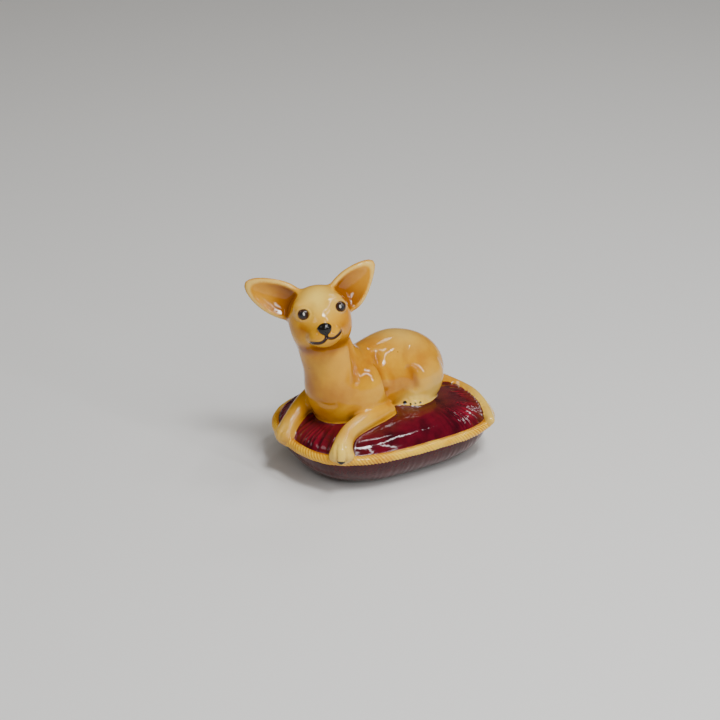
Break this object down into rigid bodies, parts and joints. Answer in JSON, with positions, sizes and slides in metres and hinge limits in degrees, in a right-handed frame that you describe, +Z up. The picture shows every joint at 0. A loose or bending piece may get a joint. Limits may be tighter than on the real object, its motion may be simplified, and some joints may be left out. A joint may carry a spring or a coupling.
{
  "type": "porcelain dog figurine",
  "caption": "Glazed porcelain figurine of a chihuahua lying on a plump corded cushion, head raised and turned to its left, forelegs over the rim, tail round the corner.",
  "frame": {"origin": "middle of the cushion's flat foot, under the middle of its cord", "axes": "+Z up; -Y the end the dog's chest and paws point to; +X the side its head is turned to"},
  "size_m": [0.0531, 0.0766, 0.0694],
  "materials": {
    "glaze": "gloss"
  },
  "bodies": {
    "root": {"chihuahua_on_cushion": "glaze"}
  },
  "joints": []
}
